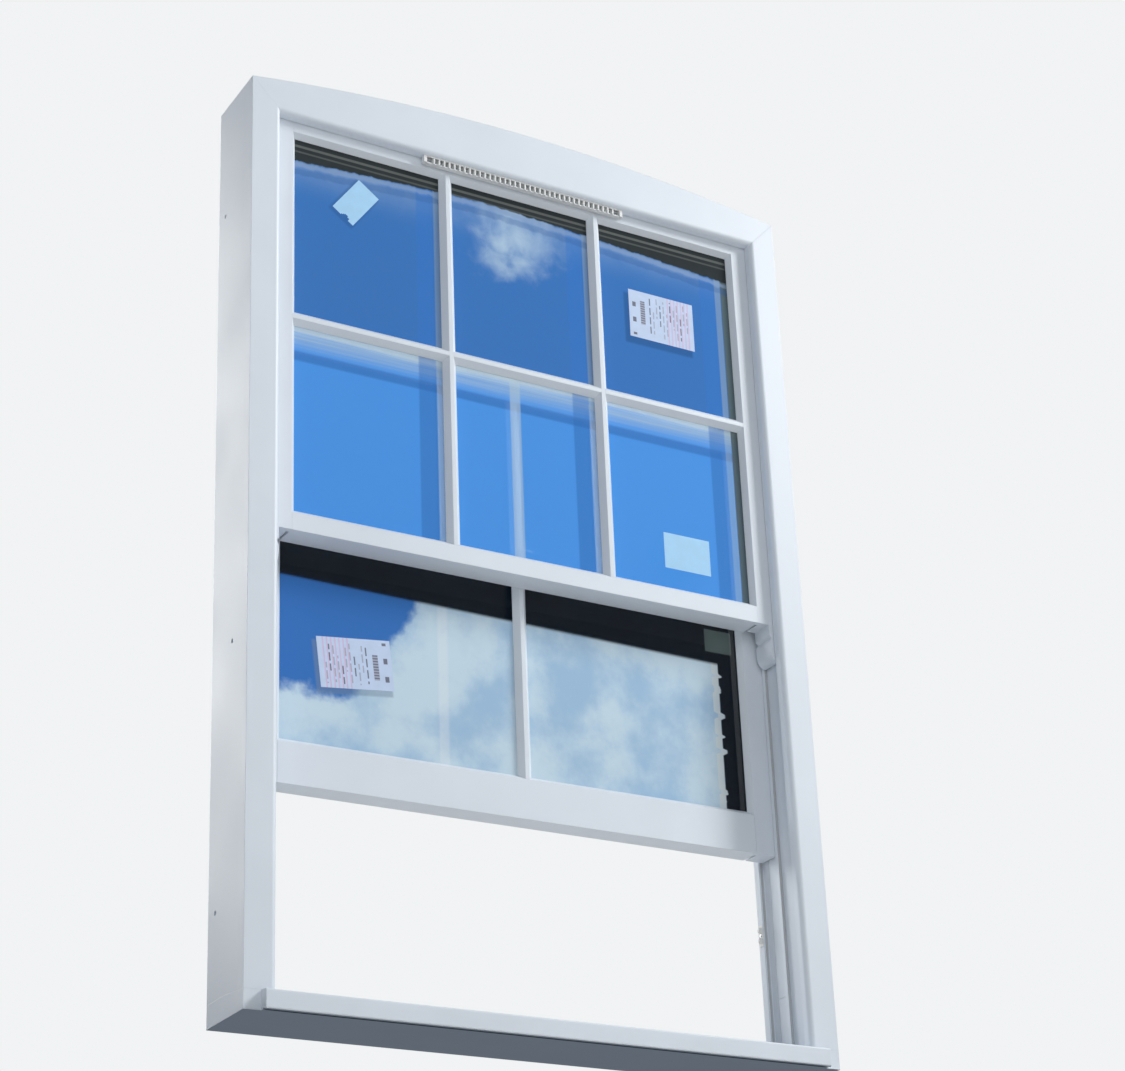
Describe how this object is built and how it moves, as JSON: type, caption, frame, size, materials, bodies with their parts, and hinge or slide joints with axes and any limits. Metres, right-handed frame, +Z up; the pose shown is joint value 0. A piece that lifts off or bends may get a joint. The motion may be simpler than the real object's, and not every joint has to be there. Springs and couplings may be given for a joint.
{
  "type": "sash window",
  "caption": "Painted timber vertical sliding window with a cambered head, glazing bars, horns, a trickle vent and spiral balances, its lower sash partly raised.",
  "frame": {"origin": "on the underside of the cill, at the middle of the window's width and depth", "axes": "+X to the right as seen from outside, +Y into the room, +Z up"},
  "size_m": [1.1, 0.17, 1.714],
  "materials": {
    "painted_timber": "sprayed satin white paint on timber",
    "glass": "clear float glass, polished",
    "spacer": "dark warm-edge spacer, matt",
    "pile": "short woven pile",
    "vent_plastic": "moulded, satin white",
    "stop_plastic": "moulded, satin white",
    "nylon": "moulded nylon, off-white",
    "tube_plastic": "extruded, white",
    "steel": "zinc plated",
    "satin_chrome": "satin chrome plate"
  },
  "bodies": {
    "frame": {"cill": "painted_timber", "jamb_left": "painted_timber", "jamb_right": "painted_timber", "head": "painted_timber", "head_lining": "painted_timber", "outer_lining_left": "painted_timber", "outer_lining_right": "painted_timber", "parting_bead_left": "painted_timber", "parting_bead_right": "painted_timber", "parting_bead_head": "painted_timber", "staff_bead_left": "painted_timber", "staff_bead_right": "painted_timber", "staff_bead_head": "painted_timber", "draught_bead": "painted_timber", "parting_seals": "pile", "staff_seals": "pile", "vent_grille": "vent_plastic", "vent_body": "vent_plastic", "sash_stops": "stop_plastic", "balance_screws": "steel", "upper_balance_tubes": "tube_plastic", "lower_balance_tubes": "tube_plastic"},
    "upper_sash": {"upper_stile_left": "painted_timber", "upper_stile_right": "painted_timber", "upper_top_rail": "painted_timber", "upper_meeting_rail": "painted_timber", "upper_glass_outer": "glass", "upper_glass_inner": "glass", "upper_spacer": "spacer", "upper_glazing_beads": "painted_timber", "upper_bar_left": "painted_timber", "upper_bar_right": "painted_timber", "upper_transom_bar": "painted_timber", "upper_inner_bars": "painted_timber", "fastener_keep": "satin_chrome", "upper_balance_rods": "steel", "upper_balance_feet": "nylon"},
    "lower_sash": {"lower_stile_left": "painted_timber", "lower_stile_right": "painted_timber", "lower_meeting_rail": "painted_timber", "lower_bottom_rail": "painted_timber", "lower_glass_outer": "glass", "lower_glass_inner": "glass", "lower_spacer": "spacer", "lower_glazing_beads": "painted_timber", "lower_bar": "painted_timber", "lower_inner_bar": "painted_timber", "fastener_base": "satin_chrome", "fastener_rivet": "satin_chrome", "sash_lift_left": "satin_chrome", "sash_lift_right": "satin_chrome", "lower_balance_rods": "steel", "lower_balance_feet": "nylon"},
    "fastener_lever": {"fastener_lever": "satin_chrome"},
    "vent_flap": {"vent_flap": "vent_plastic"},
    "upper_balance_nut_left": {"upper_balance_nut_left": "nylon"},
    "upper_balance_nut_right": {"upper_balance_nut_right": "nylon"},
    "lower_balance_nut_left": {"lower_balance_nut_left": "nylon"},
    "lower_balance_nut_right": {"lower_balance_nut_right": "nylon"}
  },
  "joints": [
    {"name": "upper_sash_slide", "type": "slide", "parent": "frame", "child": "upper_sash", "axis": [0, 0, 1], "range_m": [-0.65, 0]},
    {"name": "lower_sash_slide", "type": "slide", "parent": "frame", "child": "lower_sash", "axis": [0, 0, 1], "range_m": [-0.356, 0.344]},
    {"name": "fastener_turn", "type": "hinge", "parent": "lower_sash", "child": "fastener_lever", "pos_m": [0, 0.03, 1.2364], "axis": [0, 0, 1], "range_deg": [-90, 0]},
    {"name": "vent_flap_tilt", "type": "hinge", "parent": "frame", "child": "vent_flap", "pos_m": [0, 0.082, 1.6421], "axis": [-1, 0, 0], "range_deg": [0, 50]},
    {"name": "upper_nut_right_turn", "type": "hinge", "parent": "frame", "child": "upper_balance_nut_right", "pos_m": [0.4995, -0.024, 0.852], "axis": [0, 0, 1], "range_deg": [-2342, 1]},
    {"name": "upper_nut_left_turn", "type": "hinge", "parent": "frame", "child": "upper_balance_nut_left", "pos_m": [-0.4995, -0.024, 0.852], "axis": [0, 0, 1], "range_deg": [-1, 2342]},
    {"name": "lower_nut_right_turn", "type": "hinge", "parent": "frame", "child": "lower_balance_nut_right", "pos_m": [0.4995, 0.03, 0.773], "axis": [0, 0, 1], "range_deg": [-1283, 1240]},
    {"name": "lower_nut_left_turn", "type": "hinge", "parent": "frame", "child": "lower_balance_nut_left", "pos_m": [-0.4995, 0.03, 0.773], "axis": [0, 0, 1], "range_deg": [-1240, 1283]}
  ],
  "couplings": [
    {"joint": "upper_nut_right_turn", "follows": "upper_sash_slide", "rad_per_m": 62.832},
    {"joint": "upper_nut_left_turn", "follows": "upper_sash_slide", "rad_per_m": -62.832},
    {"joint": "lower_nut_right_turn", "follows": "lower_sash_slide", "rad_per_m": 62.832},
    {"joint": "lower_nut_left_turn", "follows": "lower_sash_slide", "rad_per_m": -62.832}
  ]
}
